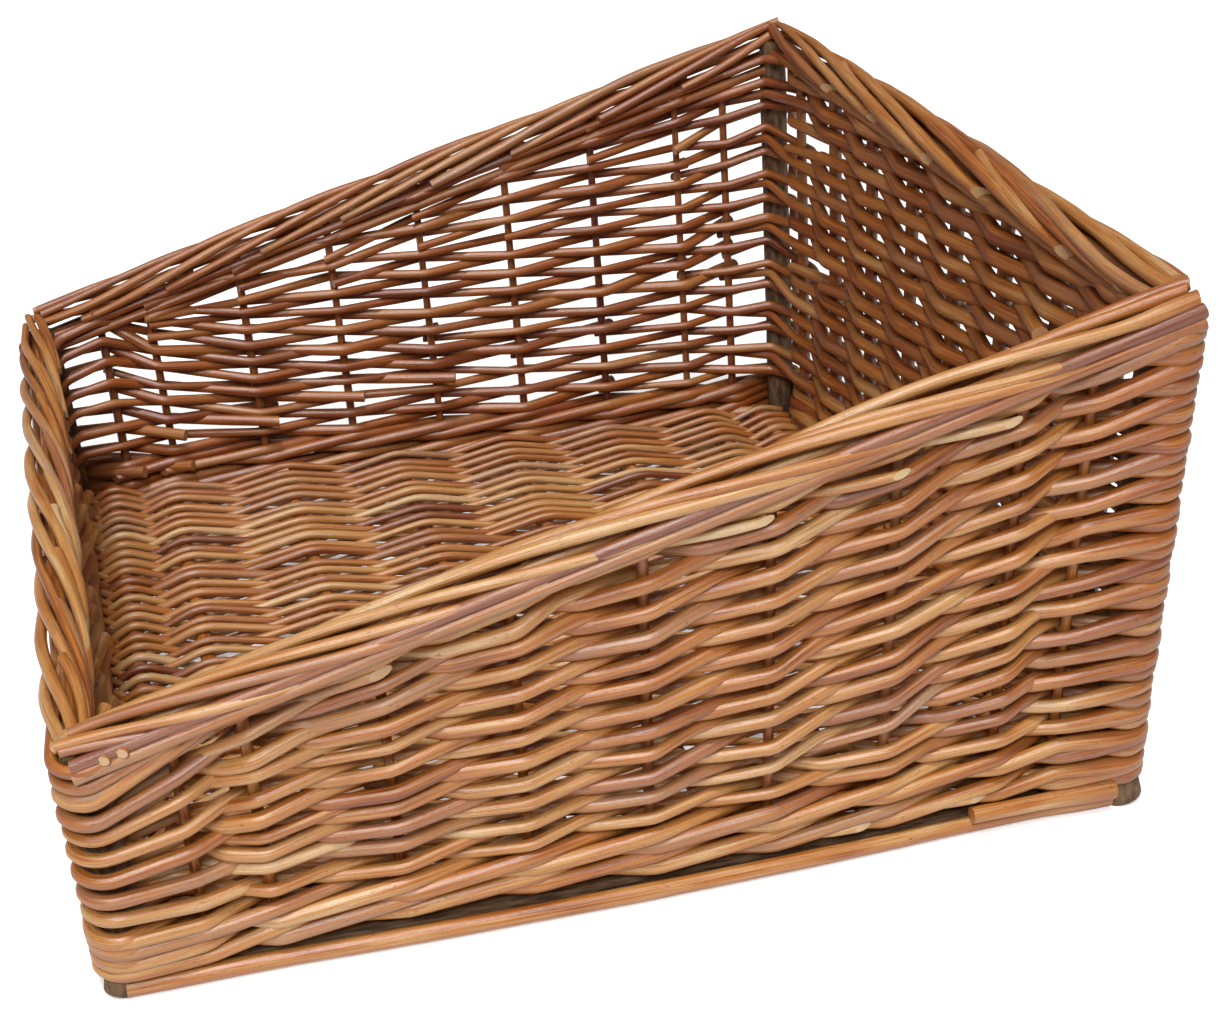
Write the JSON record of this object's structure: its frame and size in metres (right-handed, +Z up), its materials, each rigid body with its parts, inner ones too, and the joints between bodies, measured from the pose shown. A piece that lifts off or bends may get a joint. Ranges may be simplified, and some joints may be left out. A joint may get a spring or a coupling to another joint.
{
  "type": "sloping willow bread basket",
  "caption": "Open rectangular willow basket with a low front end, a tall back end and sloping sides, woven over stakes between thick corner posts.",
  "frame": {"origin": "on the floor, under the middle of the basket's bounding box", "axes": "+Z up; +X from the low end towards the tall end; +Y from the near sloping side towards the far one"},
  "size_m": [0.4589, 0.4462, 0.2504],
  "materials": {
    "post": "rough bark, split on one side",
    "stake": "satin peeled willow",
    "weaver": "satin peeled willow, buff to reddish brown",
    "border": "satin peeled willow",
    "foot": "satin peeled willow",
    "base_stick": "satin peeled willow",
    "base_weave": "satin peeled willow"
  },
  "bodies": {
    "root": {"base_stick_1": "base_stick", "base_stick_2": "base_stick", "base_stick_3": "base_stick", "base_stick_4": "base_stick", "base_stick_5": "base_stick", "base_stick_6": "base_stick", "base_stick_7": "base_stick", "base_stick_8": "base_stick", "base_weave": "base_weave", "border_coil_far": "border", "border_coil_near": "border", "border_low_strand_1": "border", "border_low_strand_2": "border", "border_tall_strand_1": "border", "border_tall_strand_2": "border", "border_top_far": "border", "border_top_near": "border", "foot_far": "foot", "foot_low": "foot", "foot_near": "foot", "foot_tall": "foot", "post_low_far": "post", "post_low_near": "post", "post_tall_far": "post", "post_tall_near": "post", "stake_far_1": "stake", "stake_far_2": "stake", "stake_far_3": "stake", "stake_far_4": "stake", "stake_far_5": "stake", "stake_far_6": "stake", "stake_far_7": "stake", "stake_low_1": "stake", "stake_low_2": "stake", "stake_low_3": "stake", "stake_low_4": "stake", "stake_low_5": "stake", "stake_low_6": "stake", "stake_low_7": "stake", "stake_low_8": "stake", "stake_near_1": "stake", "stake_near_2": "stake", "stake_near_3": "stake", "stake_near_4": "stake", "stake_near_5": "stake", "stake_near_6": "stake", "stake_near_7": "stake", "stake_tall_1": "stake", "stake_tall_2": "stake", "stake_tall_3": "stake", "stake_tall_4": "stake", "stake_tall_5": "stake", "stake_tall_6": "stake", "stake_tall_7": "stake", "stake_tall_8": "stake", "weave_far": "weaver", "weave_low": "weaver", "weave_near": "weaver", "weave_tall": "weaver"}
  },
  "joints": []
}
